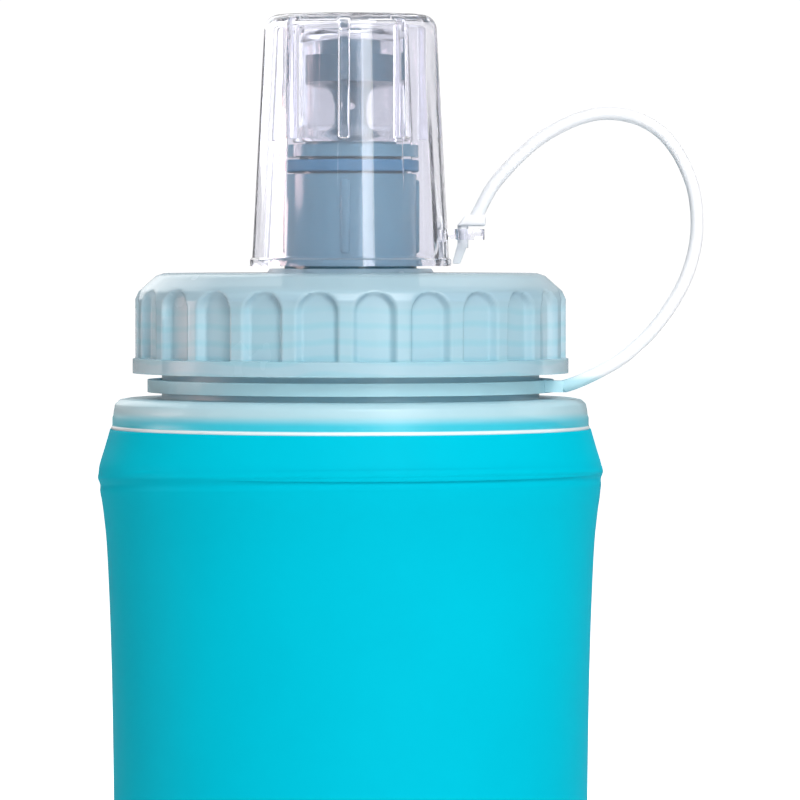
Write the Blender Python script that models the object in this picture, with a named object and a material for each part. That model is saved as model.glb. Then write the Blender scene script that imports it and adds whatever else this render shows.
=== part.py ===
"""A 250 ml collapsible soft flask with a push-pull bite spout and a tethered dust cover.

Run with: blender --background --python part.py
The flask stands on its base at z = 0, its axis is world Z, and its front faces -Y.
Every sub-part is one named object.  Lengths are in metres.
"""

import math

import bmesh
import bpy
from mathutils import Matrix, Vector
from mathutils.geometry import interpolate_bezier

MM = 0.001

# ---- driving dimensions -------------------------------------------------------------
GAP = 0.3 * MM  # between pieces that touch on the real flask
TOTAL_HEIGHT = 165.0 * MM
FILM_TOP = 119.0 * MM
CREASE_Z = 113.2 * MM  # where the film bulges over the lower edge of the collar's skirt
CREASE_RADIUS = 28.1 * MM
FILM_THICKNESS = 0.6 * MM

NECK_RADIUS = 20.0 * MM  # at the root of the thread
NECK_BORE = 17.6 * MM
NECK_RIM_Z = 133.0 * MM
FLANGE_TOP = 122.4 * MM
FLANGE_RADIUS = 26.5 * MM

THREAD_PITCH = 3.6 * MM
THREAD_HEIGHT = 1.0 * MM  # radial
THREAD_ROOT = 1.4 * MM  # width where the ridge meets its wall
THREAD_CREST = 0.7 * MM
NECK_THREAD_TURNS = 1.25
CAP_THREAD_TURNS = 1.25

CAP_RADIUS = 23.95 * MM
CAP_BORE = 21.4 * MM
CAP_TOP = 136.3 * MM
CAP_CEILING = 134.7 * MM
CAP_BOTTOM = 125.2 * MM
CAP_FOOT_RADIUS = 24.25 * MM
FLUTES = 24
FLUTE_ANGLE = math.radians(10.2)
FLUTE_DEPTH = 1.0 * MM
FLUTE_BOTTOM = 126.9 * MM
FLUTE_TOP = 134.3 * MM
FLUTE_FIRST = math.radians(-90.0 + 6.8)

POST_RADIUS = 7.35 * MM
POST_BORE = 6.0 * MM
POST_SHOULDER = 147.3 * MM
POST_KEYS = 4
POST_PORTS = 4

CORE_TRAVEL = 3.5 * MM
CORE_BOTTOM = 140.0 * MM
CORE_FLANGE_Z = (149.2 * MM, 150.55 * MM)
CORE_FLANGE_RADIUS = 7.55 * MM
CORE_TOP = 163.1 * MM
DISC_RADIUS = 5.1 * MM

SHEATH_RADIUS = 5.75 * MM
SHEATH_TOP = 163.45 * MM

COVER_TOP = TOTAL_HEIGHT
COVER_BOTTOM = 137.1 * MM
COVER_TOP_RADIUS = 9.6 * MM
COVER_BOTTOM_RADIUS = 10.95 * MM
COVER_WALL = 1.15 * MM
COVER_RIBS = 8
RIB_WIDTH = 1.2 * MM
RIB_INNER_RADIUS = 7.5 * MM
RIB_BOTTOM = 151.05 * MM
RIB_FIRST = math.radians(-90.0 - 4.3)

TAB_Z = (140.0 * MM, 141.2 * MM)
TAB_TIP = 14.9 * MM
TAB_HALF_WIDTH = 2.1 * MM
TAB_HOLE_X = 12.5 * MM
TAB_HOLE_RADIUS = 1.0 * MM

RING_Z = (123.1 * MM, 124.5 * MM)
RING_RADII = (21.4 * MM, 22.6 * MM)
LUG_ANGLE = math.radians(-16.0)
LUG_TIP = 24.2 * MM
STRAP_DIAMETER = 1.45 * MM

# The strap's route from the ring's lug over to the cover's tab.
STRAP_ROUTE = [
    Vector(point) * MM
    for point in (
        (23.55, -6.75, 123.85),
        (25.3, -7.0, 124.45),
        (27.8, -6.9, 125.65),
        (30.0, -6.6, 126.95),
        (31.7, -6.2, 128.4),
        (33.3, -5.8, 129.95),
        (35.4, -5.1, 132.7),
        (37.1, -4.4, 135.8),
        (38.1, -3.7, 139.0),
        (38.4, -3.1, 142.0),
        (38.1, -2.5, 145.2),
        (37.3, -1.9, 147.7),
        (36.1, -1.4, 150.0),
        (34.5, -1.0, 151.9),
        (32.5, -0.7, 153.2),
        (30.2, -0.4, 153.9),
        (27.7, -0.2, 154.0),
        (25.2, -0.1, 153.4),
        (22.9, 0.0, 152.35),
        (20.8, 0.0, 151.05),
        (19.0, 0.0, 149.5),
        (17.3, 0.0, 147.75),
        (15.7, 0.0, 145.8),
        (14.3, 0.0, 143.2),
    )
]

SEGMENTS = 36  # sides of a round piece
FINE_SEGMENTS = 48  # of the fluted cap
SMALL_SEGMENTS = 28  # of the spout's pieces
SMOOTH_ANGLE = math.radians(35.0)


# ---- scene and materials ------------------------------------------------------------
def clear_scene():
    for old in list(bpy.data.objects):
        bpy.data.objects.remove(old, do_unlink=True)


def material(name, colour, roughness, alpha=1.0):
    made = bpy.data.materials.new(name)
    made.use_nodes = True
    shader = made.node_tree.nodes["Principled BSDF"]
    shader.inputs["Base Color"].default_value = (*colour, 1.0)
    shader.inputs["Roughness"].default_value = roughness
    shader.inputs["Metallic"].default_value = 0.0
    shader.inputs["Alpha"].default_value = alpha
    made.diffuse_color = (*colour, alpha)
    return made


# ---- building tools -----------------------------------------------------------------
def new_object(name, mesh, finish=None, parent=None):
    made = bpy.data.objects.new(name, mesh)
    bpy.context.scene.collection.objects.link(made)
    if finish:
        mesh.materials.append(finish)
    if parent:
        hang(made, parent)
    return made


def hang(piece, parent):
    """Parents a piece to an axis empty, and leaves it where it is in the world."""
    piece.parent = parent
    piece.matrix_parent_inverse = parent.matrix_world.inverted()


def turned(name, outline, finish, parent=None, closed=True, segments=SEGMENTS):
    """A round piece: an outline of (radius, z) pairs in millimetres, turned about Z.

    The outline runs down the outer side, and a closed one comes back up the inner side.
    """
    mesh = bpy.data.meshes.new(name)
    points = [(radius * MM, 0.0, z * MM) for radius, z in outline]
    edges = [(i, i + 1) for i in range(len(points) - 1)]
    if closed:
        edges.append((len(points) - 1, 0))
    mesh.from_pydata(points, edges, [])
    made = new_object(name, mesh, finish, parent)
    turn = made.modifiers.new("turn", "SCREW")
    turn.axis = "Z"
    turn.steps = segments
    turn.render_steps = segments
    turn.use_merge_vertices = True
    turn.merge_threshold = 0.00001
    turn.use_smooth_shade = True
    return made


def hide_tool(tool):
    tool.hide_render = True
    tool.display_type = "WIRE"


def boolean(target, tool, operation):
    """Cuts or joins with another object, which stays in the file as a hidden tool."""
    hide_tool(tool)
    step = target.modifiers.new(operation.lower(), "BOOLEAN")
    step.operation = operation
    step.solver = "EXACT"
    step.object = tool
    return step


def prism(name, outline, thickness, place, parent=None):
    """A flat plate: an outline of local (x, z) pairs, as thick as given along local Y."""
    bm = bmesh.new()
    near = [bm.verts.new((x, -thickness / 2, z)) for x, z in outline]
    face = bm.faces.new(near)
    grown = bmesh.ops.extrude_face_region(bm, geom=[face])
    moved = [item for item in grown["geom"] if isinstance(item, bmesh.types.BMVert)]
    bmesh.ops.translate(bm, verts=moved, vec=(0.0, thickness, 0.0))
    bmesh.ops.recalc_face_normals(bm, faces=bm.faces[:])
    bmesh.ops.transform(bm, matrix=place, verts=bm.verts[:])
    mesh = bpy.data.meshes.new(name)
    bm.to_mesh(mesh)
    bm.free()
    return new_object(name, mesh, parent=parent)


def joined(name, pieces):
    """One hidden tool made of several meshes that don't touch each other."""
    bm = bmesh.new()
    for piece in pieces:
        bm.from_mesh(piece.data)
    mesh = bpy.data.meshes.new(name)
    bm.to_mesh(mesh)
    bm.free()
    for piece in pieces:
        bpy.data.objects.remove(piece, do_unlink=True)
    return new_object(name, mesh)


def around(count, first):
    """The turns about Z that spread a number of copies evenly."""
    return [Matrix.Rotation(first + math.tau * i / count, 4, "Z") for i in range(count)]


def rod(name, radius, start, end, sides=16):
    """A round bar between two points."""
    start, end = Vector(start), Vector(end)
    bm = bmesh.new()
    bmesh.ops.create_cone(
        bm,
        cap_ends=True,
        segments=sides,
        radius1=radius,
        radius2=radius,
        depth=(end - start).length,
    )
    turn = (end - start).to_track_quat("Z", "Y").to_matrix().to_4x4()
    place = Matrix.Translation((start + end) / 2) @ turn
    bmesh.ops.transform(bm, matrix=place, verts=bm.verts[:])
    mesh = bpy.data.meshes.new(name)
    bm.to_mesh(mesh)
    bm.free()
    return new_object(name, mesh)


def thread_ridge(name, wall_radius, outward, start_z, turns, sides=28):
    """A single-start right-hand helical ridge that fades out at both ends.

    outward is +1 for a ridge outside its wall, and -1 for one inside it.
    """
    buried = 0.25 * MM
    steps = round(turns * sides)
    bm = bmesh.new()
    rings = []
    for i in range(steps + 1):
        angle = math.tau * i / sides
        middle = start_z + THREAD_PITCH * i / sides
        fade = min(1.0, (i + 0.6) / 3, (steps - i + 0.6) / 3)
        root, crest = THREAD_ROOT / 2, THREAD_CREST / 2
        section = (
            (wall_radius - outward * buried, middle - root),
            (wall_radius + outward * THREAD_HEIGHT * fade, middle - crest),
            (wall_radius + outward * THREAD_HEIGHT * fade, middle + crest),
            (wall_radius - outward * buried, middle + root),
        )
        rings.append(
            [
                bm.verts.new((radius * math.cos(angle), radius * math.sin(angle), z))
                for radius, z in section
            ]
        )
    for low, high in zip(rings, rings[1:]):
        for k in range(4):
            bm.faces.new((low[k], low[(k + 1) % 4], high[(k + 1) % 4], high[k]))
    bm.faces.new(rings[0])
    bm.faces.new(rings[-1])
    bmesh.ops.recalc_face_normals(bm, faces=bm.faces[:])
    mesh = bpy.data.meshes.new(name)
    bm.to_mesh(mesh)
    bm.free()
    return new_object(name, mesh)


def torus(name, major, minor, z, finish, parent, sides=6, segments=SMALL_SEGMENTS):
    """A round seal about Z."""
    outline = [
        (
            (major + minor * math.cos(math.tau * i / sides)) / MM,
            (z - minor * math.sin(math.tau * i / sides)) / MM,
        )
        for i in range(sides)
    ]
    return turned(name, outline, finish, parent, segments=segments)


def arc(centre, radius, start, end, steps):
    """Points in millimetres along an arc, with angles in degrees from +radius."""
    points = []
    for i in range(steps + 1):
        angle = math.radians(start + (end - start) * i / steps)
        points.append(
            (centre[0] + radius * math.cos(angle), centre[1] + radius * math.sin(angle))
        )
    return points


def axis_empty(name, z, parent=None):
    """An empty on the flask's axis, which the pieces of one moving body hang from."""
    made = bpy.data.objects.new(name, None)
    bpy.context.scene.collection.objects.link(made)
    made.location.z = z
    if parent:
        hang(made, parent)
    bpy.context.view_layer.update()
    return made


def apply_and_smooth(made):
    """Keeps the finished shape in the mesh, shaded smooth with sharp edges kept."""
    graph = bpy.context.evaluated_depsgraph_get()
    mesh = bpy.data.meshes.new_from_object(made.evaluated_get(graph))
    made.modifiers.clear()
    made.data = mesh
    mesh.shade_smooth()
    mesh.set_sharp_from_angle(angle=SMOOTH_ANGLE)


def finish_pieces():
    """Applies every piece's modifiers, then removes the hidden tools they used."""
    pieces = [o for o in bpy.data.objects if o.type == "MESH" and not o.hide_render]
    for piece in pieces:
        apply_and_smooth(piece)
    for tool in [o for o in bpy.data.objects if o.hide_render]:
        bpy.data.objects.remove(tool, do_unlink=True)


# ---- flask: film, collar and base ---------------------------------------------------
def film_outline():
    """The film's outer side, from its top edge down to the base, in millimetres."""
    crease, z = CREASE_RADIUS / MM, CREASE_Z / MM
    return [
        (26.75, FILM_TOP / MM),
        (27.33, 117.0),
        (27.85, 115.3),
        (crease - 0.05, z + 0.9),
        (crease, z),
        (crease - 0.2, z - 1.1),
        (27.45, 109.3),
        (27.05, 104.6),
        (26.6, 92.0),
        (26.3, 70.0),
        (25.95, 12.0),
        (25.6, 5.0),
        (25.2, 2.05),
    ]


def make_bladder_film(finish):
    thick = FILM_THICKNESS / MM
    outer = film_outline()
    inner = [(radius - thick, z) for radius, z in reversed(outer)]
    return turned("bladder_film", outer + inner, finish)


def make_neck_collar(finish):
    rim, root, bore = NECK_RIM_Z / MM, NECK_RADIUS / MM, NECK_BORE / MM
    top, wide = FLANGE_TOP / MM, FLANGE_RADIUS / MM
    under_film = (FILM_THICKNESS + GAP) / MM
    skirt = [(radius - under_film, z) for radius, z in film_outline()[1:4]]
    outline = [
        (root - 0.3, rim),
        (root, rim - 0.3),
        (root, top + 0.5),
        (root + 0.5, top),
        (wide - 1.8, top),
        (wide - 0.7, top - 0.25),
        (wide - 0.2, top - 0.9),
        (wide, top - 2.2),
        (wide, FILM_TOP / MM + 0.5),
        (25.8, FILM_TOP / MM + 0.35),
        *skirt,
        (skirt[-1][0] - 0.1, CREASE_Z / MM + 0.4),
        (skirt[-1][0] - 0.9, CREASE_Z / MM + 0.4),
        (25.7, 115.4),
        (24.6, 118.0),
        (23.2, 119.6),
        (18.8, 120.5),
        (bore, 121.8),
        (bore, rim - 0.3),
        (bore + 0.3, rim),
    ]
    made = turned("neck_collar", outline, finish)
    ridge = thread_ridge("neck_thread", NECK_RADIUS, 1, 126.6 * MM, NECK_THREAD_TURNS)
    boolean(made, ridge, "UNION")
    return made


def make_base_disc(finish):
    outline = [
        (0.0, 3.0),
        (22.6, 3.0),
        (23.5, 3.9),
        (23.8, 8.5),
        (24.85, 8.5),
        (24.65, 5.0),
        (24.25, 2.2),
        (24.6, 1.75),
        (25.3, 1.7),
        (25.3, 1.0),
        (24.6, 0.3),
        (23.6, 0.0),
        (19.4, 0.0),
        (18.9, 0.5),
        (18.7, 1.4),
        (0.0, 1.6),
    ]
    return turned("base_disc", outline, finish, closed=False)


# ---- screw cap and its gasket -------------------------------------------------------
def make_flute_cutter():
    """24 arch-topped cutters with flat bottoms, in a ring."""
    half = CAP_RADIUS * math.sin(FLUTE_ANGLE / 2)
    spring_z = FLUTE_TOP - half
    arch = [
        (half * math.cos(angle), spring_z + half * math.sin(angle))
        for angle in (math.radians(d) for d in (0, 40, 90, 140, 180))
    ]
    outline = [(half, FLUTE_BOTTOM), *arch, (-half, FLUTE_BOTTOM)]
    reach = 2.5 * MM
    turn = Matrix.Rotation(math.radians(90.0), 4, "Z")
    out = Matrix.Translation((CAP_RADIUS - FLUTE_DEPTH + reach / 2, 0.0, 0.0))
    pieces = [
        prism("flute", outline, reach, place @ out @ turn)
        for place in around(FLUTES, FLUTE_FIRST)
    ]
    return joined("flute_cutter", pieces)


def make_screw_cap(finish, parent):
    top, bottom, ceiling = CAP_TOP / MM, CAP_BOTTOM / MM, CAP_CEILING / MM
    wide, bore, foot = CAP_RADIUS / MM, CAP_BORE / MM, CAP_FOOT_RADIUS / MM
    hole = (POST_RADIUS + GAP) / MM
    outline = [
        (hole, top + 0.5),
        (9.0, top + 0.5),
        (9.3, top),
        (wide - 2.9, top),
        (wide - 2.2, top - 0.25),
        (wide - 0.45, top - 1.9),
        (wide, top - 2.8),
        (wide, bottom + 1.8),
        (foot, bottom + 1.4),
        (foot, bottom + 0.3),
        (foot - 0.3, bottom),
        (bore + 0.3, bottom),
        (bore, bottom + 0.3),
        (bore, ceiling),
        (hole, ceiling),
    ]
    made = turned("screw_cap", outline, finish, parent, segments=FINE_SEGMENTS)
    boolean(made, make_flute_cutter(), "DIFFERENCE")
    # Half a pitch above the neck's ridge, so the two lie in mesh at rest.
    start = 126.6 * MM + THREAD_PITCH / 2
    ridge = thread_ridge("cap_thread", CAP_BORE, -1, start, CAP_THREAD_TURNS)
    boolean(made, ridge, "UNION")
    return made


def make_cap_gasket(finish, parent):
    low, high = NECK_RIM_Z / MM + 0.3, CAP_CEILING / MM - 0.3
    outline = [(20.8, high), (20.8, low), (17.3, low), (17.3, high)]
    return turned("cap_gasket", outline, finish, parent)


# ---- spout --------------------------------------------------------------------------
def make_spout_post(finish, parent):
    wide, bore, shoulder = POST_RADIUS / MM, POST_BORE / MM, POST_SHOULDER / MM
    stub = (CORE_BOTTOM + CORE_TRAVEL) / MM - 2.0
    outline = [
        (0.0, stub),
        (3.0, stub),
        (3.3, stub - 0.3),
        (3.3, 135.6),
        (bore, 135.6),
        (bore, shoulder + 1.3),
        (bore + 0.35, shoulder + 1.3),
        (bore + 0.35, shoulder),
        (wide, shoulder),
        (wide, 138.2),
        (8.05, 137.6),
        (8.05, 137.1),
        (wide, 137.1),
        (wide, 134.4),
        (8.0, 134.4),
        (8.0, 133.5),
        (9.3, 133.5),
        (9.3, 134.4),
        (10.5, 134.4),
        (10.5, 132.9),
        (6.9, 132.9),
        (6.6, 133.2),
        (6.6, 134.0),
        (0.0, 134.0),
    ]
    made = turned("spout_post", outline, finish, parent, closed=False, segments=SMALL_SEGMENTS)
    ports = []
    for turn in around(POST_PORTS, math.radians(21.0)):
        ends = [turn @ Vector((4.65 * MM, 0.0, z * MM)) for z in (133.0, 137.0)]
        ports.append(rod("port", 0.8 * MM, *ends, sides=8))
    boolean(made, joined("post_ports", ports), "DIFFERENCE")
    key = [(7.0 * MM, 138.5 * MM), (7.65 * MM, 139.0 * MM)]
    key += [(7.65 * MM, 146.2 * MM), (7.0 * MM, 146.7 * MM)]
    keys = [
        prism("key", key, 1.1 * MM, place) for place in around(POST_KEYS, RIB_FIRST)
    ]
    boolean(made, joined("post_keys", keys), "UNION")
    return made


def make_seat_ring(finish, parent):
    low, inner, outer = POST_SHOULDER / MM + 0.25, POST_BORE / MM + 0.6, 7.6
    high = CORE_FLANGE_Z[0] / MM - 0.3
    outline = [
        (outer - 0.2, high),
        (outer, high - 0.2),
        (outer, low + 0.2),
        (outer - 0.2, low),
        (inner, low),
        (inner, high),
    ]
    return turned("seat_ring", outline, finish, parent, segments=SMALL_SEGMENTS)


def make_spout_core(finish, parent):
    low, high = CORE_FLANGE_Z[0] / MM, CORE_FLANGE_Z[1] / MM
    flange, disc, top = CORE_FLANGE_RADIUS / MM, DISC_RADIUS / MM, CORE_TOP / MM
    bottom = CORE_BOTTOM / MM
    tube = POST_BORE / MM - 0.3
    outline = [
        (0.0, top),
        (2.9, top),
        (3.4, top - 0.5),
        (3.4, 160.6),
        (disc - 0.3, 160.6),
        (disc, 160.3),
        (disc, 157.9),
        (disc - 0.3, 157.6),
        (3.2, 157.4),
        (2.1, 156.6),
        (1.8, 155.6),
        (1.8, 153.0),
        (2.2, 152.0),
        (3.4, 151.2),
        (disc, 151.0),
        (disc, high),
        (flange - 0.2, high),
        (flange, high - 0.2),
        (flange, low + 0.2),
        (flange - 0.2, low),
        (tube, low),
        (tube, 144.2),
        (4.6, 144.2),
        (4.6, 142.6),
        (tube, 142.6),
        (tube, bottom + 0.2),
        (tube - 0.2, bottom),
        (3.6, bottom),
        (3.6, 148.2),
        (1.1, 150.0),
        (1.1, 156.2),
        (0.0, 156.6),
    ]
    made = turned("spout_core", outline, finish, parent, closed=False, segments=SMALL_SEGMENTS)
    for name, x, y in (("port_x", 2.6 * MM, 0.0), ("port_y", 0.0, 2.6 * MM)):
        z = 155.2 * MM
        drill = rod(name, 0.55 * MM, (-x, -y, z), (x, y, z), sides=8)
        boolean(made, drill, "DIFFERENCE")
    return made


def make_bite_sheath(finish, parent):
    wide, top = SHEATH_RADIUS / MM, SHEATH_TOP / MM
    bottom = CORE_FLANGE_Z[1] / MM + 0.3
    inner = DISC_RADIUS / MM + 0.25
    shoulder = arc((wide - 1.2, top - 1.2), 1.2, 90, 0, 4)
    outline = [
        (3.75, top),
        *shoulder,
        (wide, 153.6),
        (wide + 0.25, 152.2),
        (wide + 0.7, bottom + 0.3),
        (wide + 0.7, bottom),
        (inner, bottom),
        (inner, top - 1.5),
        (inner - 0.6, top - 0.9),
        (3.75, top - 0.7),
    ]
    return turned("bite_sheath", outline, finish, parent, segments=SMALL_SEGMENTS)


# ---- dust cover and tether ----------------------------------------------------------
def make_dust_cover(finish, parent):
    top, bottom = COVER_TOP / MM, COVER_BOTTOM / MM
    narrow, wide, wall = (
        COVER_TOP_RADIUS / MM,
        COVER_BOTTOM_RADIUS / MM,
        COVER_WALL / MM,
    )
    corner = 1.7
    outline = [
        (0.0, top),
        *arc((narrow - corner, top - corner), corner, 90, 0, 3),
        (wide, bottom + 0.9),
        (wide + 0.25, bottom + 0.7),
        (wide + 0.25, bottom),
        (wide - wall, bottom),
        *arc((narrow - corner, top - corner), corner - wall, 0, 90, 2),
        (0.0, top - wall),
    ]
    made = turned("dust_cover", outline, finish, parent, closed=False)
    inner, low = RIB_INNER_RADIUS, RIB_BOTTOM
    outline = [
        (inner, low),
        (9.45 * MM, low),
        (8.85 * MM, 163.2 * MM),
        (8.2 * MM, 164.2 * MM),
        (inner, 164.2 * MM),
    ]
    ribs = [
        prism("rib", outline, RIB_WIDTH, place)
        for place in around(COVER_RIBS, RIB_FIRST)
    ]
    boolean(made, joined("cover_ribs", ribs), "UNION")
    boolean(made, make_tab(), "UNION")
    hole_z = (TAB_Z[0] - 1 * MM, TAB_Z[1] + 1 * MM)
    ends = [(TAB_HOLE_X, 0.0, z) for z in hole_z]
    boolean(made, rod("tab_hole", TAB_HOLE_RADIUS, *ends, sides=12), "DIFFERENCE")
    return made


def make_tab():
    """A flat tab with a round tip, buried in the cover's wall."""
    tip_centre = TAB_TIP - TAB_HALF_WIDTH
    tip = [
        (
            tip_centre + TAB_HALF_WIDTH * math.cos(angle),
            TAB_HALF_WIDTH * math.sin(angle),
        )
        for angle in (math.radians(d) for d in range(-90, 91, 20))
    ]
    root = 10.4 * MM
    outline = [(root, TAB_HALF_WIDTH), (root, -TAB_HALF_WIDTH), *tip]
    thick = TAB_Z[1] - TAB_Z[0]
    lay = Matrix.Rotation(math.radians(90.0), 4, "X")
    place = Matrix.Translation((0.0, 0.0, (TAB_Z[0] + TAB_Z[1]) / 2)) @ lay
    return prism("tab", outline, thick, place)


def make_tether_ring(finish, parent):
    low, high = RING_Z[0] / MM, RING_Z[1] / MM
    inner, outer = RING_RADII[0] / MM, RING_RADII[1] / MM
    outline = [
        (outer - 0.2, high),
        (outer, high - 0.2),
        (outer, low + 0.2),
        (outer - 0.2, low),
        (inner, low),
        (inner, high),
    ]
    made = turned("tether_ring", outline, finish, parent)
    root, tip = RING_RADII[0] + 0.4 * MM, LUG_TIP
    outline = [
        (root, RING_Z[0] + 0.1 * MM),
        (tip, RING_Z[0] + 0.05 * MM),
        (tip, RING_Z[1] + 0.05 * MM),
        (root, RING_Z[1] - 0.1 * MM),
    ]
    lug = prism("lug", outline, 2.0 * MM, Matrix.Rotation(LUG_ANGLE, 4, "Z"))
    boolean(made, lug, "UNION")
    return made


def smooth_route(points, per_span):
    """A smooth line through every point, as Bezier spans with Catmull-Rom tangents."""
    line = []
    last = len(points) - 1
    for i in range(last):
        before, start = points[max(i - 1, 0)], points[i]
        end, after = points[i + 1], points[min(i + 2, last)]
        out = start + (end - before) / 6
        back = end - (after - start) / 6
        line += interpolate_bezier(start, out, back, end, per_span + 1)[:-1]
    return [*line, points[-1]]


def make_tether_strap(finish, parent):
    line = smooth_route(STRAP_ROUTE, 1)
    curve = bpy.data.curves.new("tether_strap", "CURVE")
    curve.dimensions = "3D"
    curve.bevel_depth = STRAP_DIAMETER / 2
    curve.bevel_resolution = 2
    curve.use_fill_caps = True
    spline = curve.splines.new("POLY")
    spline.points.add(len(line) - 1)
    for target, point in zip(spline.points, line):
        target.co = (*point, 1.0)
    curve.materials.append(finish)
    made = bpy.data.objects.new("tether_strap", curve)
    bpy.context.scene.collection.objects.link(made)
    hang(made, parent)
    return made


def make_strap_end(finish, parent):
    """The strap's bead above the tab, and its tail down through the tab's hole."""
    bead_low, bead_high = TAB_Z[1] + GAP, TAB_Z[1] + 1.6 * MM
    outline = [
        (11.75 * MM, bead_low),
        (14.75 * MM, bead_low),
        (15.05 * MM, bead_low + 0.5 * MM),
        (14.95 * MM, bead_high - 0.2 * MM),
        (14.6 * MM, bead_high),
        (12.9 * MM, bead_high),
    ]
    made = prism("strap_end", outline, 1.9 * MM, Matrix(), parent)
    made.data.materials.append(finish)
    stem_top = (TAB_HOLE_X, 0.0, bead_low + 0.2 * MM)
    stem_end = (TAB_HOLE_X, 0.0, TAB_Z[0] - 0.7 * MM)
    stem = rod("strap_stem", 0.6 * MM, stem_top, stem_end, sides=10)
    boolean(made, stem, "UNION")
    tail = [
        (13.1 * MM, TAB_Z[0] - GAP),
        (12.9 * MM, TAB_Z[0] - 0.85 * MM),
        (12.15 * MM, 137.35 * MM),
        (11.15 * MM + 0.5 * MM, 137.55 * MM),
        (11.95 * MM, TAB_Z[0] - GAP),
    ]
    boolean(made, prism("strap_tail", tail, 1.1 * MM, Matrix()), "UNION")
    return made


def main():
    clear_scene()

    film_cyan = material("film_cyan", (0.0, 0.52, 0.73), 0.42)
    collar_tpu = material("collar_tpu", (0.50, 0.70, 0.77), 0.35, 0.75)
    cap_plastic = material("cap_plastic", (0.48, 0.65, 0.72), 0.32, 0.8)
    spout_plastic = material("spout_plastic", (0.33, 0.48, 0.57), 0.28, 0.8)
    seal_rubber = material("seal_rubber", (0.22, 0.38, 0.48), 0.5)
    clear_silicone = material("clear_silicone", (0.80, 0.80, 0.83), 0.3, 0.45)
    clear_plastic = material("clear_plastic", (0.86, 0.87, 0.91), 0.12, 0.35)
    tether_plastic = material("tether_plastic", (0.87, 0.89, 0.91), 0.4, 0.8)

    make_bladder_film(film_cyan)
    make_neck_collar(collar_tpu)
    make_base_disc(film_cyan)

    lifting = axis_empty("cap_lift_axis", NECK_RIM_Z)
    make_cap_gasket(seal_rubber, lifting)
    make_screw_cap(cap_plastic, lifting)
    make_spout_post(spout_plastic, lifting)
    torus("post_o_ring", 8.65 * MM, 0.38 * MM, 134.0 * MM, seal_rubber, lifting)
    make_seat_ring(seal_rubber, lifting)

    sliding = axis_empty("mouthpiece_axis", CORE_BOTTOM, lifting)
    make_spout_core(spout_plastic, sliding)
    torus("spout_o_ring", 5.3 * MM, 0.44 * MM, 143.4 * MM, seal_rubber, sliding)
    make_bite_sheath(clear_silicone, sliding)

    turning = axis_empty("tether_axis", RING_Z[0], lifting)
    make_tether_ring(tether_plastic, turning)
    make_tether_strap(tether_plastic, turning)
    rising = axis_empty("cover_axis", COVER_BOTTOM, turning)
    make_dust_cover(clear_plastic, rising)
    make_strap_end(tether_plastic, rising)
    finish_pieces()


main()
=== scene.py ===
"""The looks of a collapsible soft flask with a push-pull spout and a tethered dust cover.

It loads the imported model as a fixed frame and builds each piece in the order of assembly: the film
bladder with its collar and foot, the screw cap with its washer and spout, the tether, and the cover.
Lengths are in metres, the flask's axis is world Z, and its front faces -Y.
"""

import math

import bpy
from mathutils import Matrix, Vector
from mathutils.geometry import interpolate_bezier


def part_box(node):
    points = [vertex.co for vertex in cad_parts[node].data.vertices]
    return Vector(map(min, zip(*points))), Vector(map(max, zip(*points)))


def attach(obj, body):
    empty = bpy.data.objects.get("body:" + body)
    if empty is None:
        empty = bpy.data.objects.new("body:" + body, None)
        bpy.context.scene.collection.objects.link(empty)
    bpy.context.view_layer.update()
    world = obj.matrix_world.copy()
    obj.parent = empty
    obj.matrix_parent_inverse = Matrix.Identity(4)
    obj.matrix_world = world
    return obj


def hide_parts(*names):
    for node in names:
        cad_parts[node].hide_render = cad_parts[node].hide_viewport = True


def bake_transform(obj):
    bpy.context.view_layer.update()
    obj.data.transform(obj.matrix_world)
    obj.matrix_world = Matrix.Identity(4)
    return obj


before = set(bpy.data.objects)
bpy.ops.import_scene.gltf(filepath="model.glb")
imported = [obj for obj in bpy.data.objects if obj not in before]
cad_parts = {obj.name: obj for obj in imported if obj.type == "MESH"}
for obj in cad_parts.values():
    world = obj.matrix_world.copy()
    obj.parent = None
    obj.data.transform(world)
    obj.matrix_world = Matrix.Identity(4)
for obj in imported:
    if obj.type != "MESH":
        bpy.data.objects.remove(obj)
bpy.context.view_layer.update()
MM = 0.001


# ---- bladder film -------------------------------------------------------------------
# The flask's soft body is one tube of thermoplastic polyurethane film, blown to shape and dyed
# through in cyan. Its top edge is welded round the collar, and it folds in a soft crease below it.
def node_size(node):
    """A CAD node's outer radius, lowest height and top, in millimetres."""
    low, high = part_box(node)
    return [round(length / MM, 2) for length in (high.y, low.z, high.z)]


FILM_SIDES = 160
FILM_THICKNESS = 0.6 * MM
CREASE_RADIUS, FILM_BOTTOM, FILM_TOP = node_size("bladder_film")
CREASE_Z, CREASE_REACH = 113.2 * MM, 1.5 * MM
CREASE_TILT, CREASE_LEAN = math.radians(0.7), math.radians(1.7)  # sideways, and front to back
FILM_OUTLINE = (  # radius and height of the outer side, from the top edge down
    (26.75, FILM_TOP),
    (27.33, 117.0),
    (27.85, 115.3),
    (28.05, 114.3),
    (CREASE_RADIUS, 113.8),
    (27.86, 113.1),
    (27.88, 112.5),
    (27.8, 111.8),
    (27.45, 109.3),
    (27.05, 104.6),
    (26.6, 92.0),
    (26.3, 70.0),
    (26.1, 40.0),
    (25.95, 12.0),
    (25.6, 5.0),
    (25.2, FILM_BOTTOM),
)


def smooth_line(points, per_span):
    """A smooth line through every point, as Bezier spans with Catmull-Rom tangents."""
    line = []
    last = len(points) - 1
    for i in range(last):
        before, start = points[max(i - 1, 0)], points[i]
        end, after = points[i + 1], points[min(i + 2, last)]
        out = start + (end - before) / 6
        back = end - (after - start) / 6
        line += interpolate_bezier(start, out, back, end, per_span + 1)[:-1]
    return [*line, points[-1]]


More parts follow.
